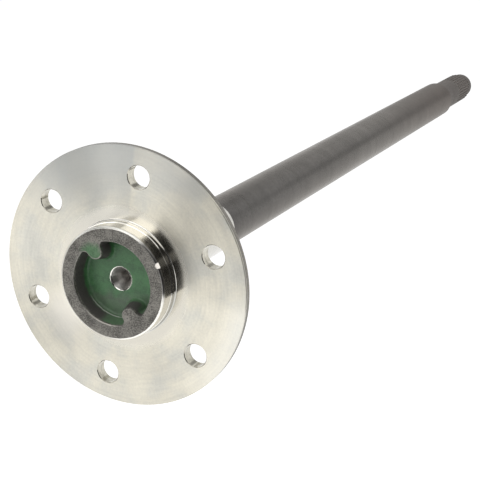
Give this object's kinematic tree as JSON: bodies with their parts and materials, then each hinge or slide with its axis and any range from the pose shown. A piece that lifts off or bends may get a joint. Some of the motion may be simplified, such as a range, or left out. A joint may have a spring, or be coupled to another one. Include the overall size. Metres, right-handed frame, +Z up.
{
  "type": "axle shaft",
  "caption": "Solid steel axle shaft with a drilled wheel flange, a recessed pilot boss with drive lugs, a ground bearing journal and a splined inner end with a clip groove.",
  "frame": {"origin": "on the shaft's axis, at the wheel face of the flange", "axes": "+Y along the shaft towards the splined end, -Y outboard towards the wheel, +Z up; the shaft lies level, as in its axle housing"},
  "size_m": [0.1778, 0.8625, 0.1776],
  "materials": {
    "steel": "turned"
  },
  "bodies": {
    "root": {"axle_shaft": "steel"}
  },
  "joints": []
}
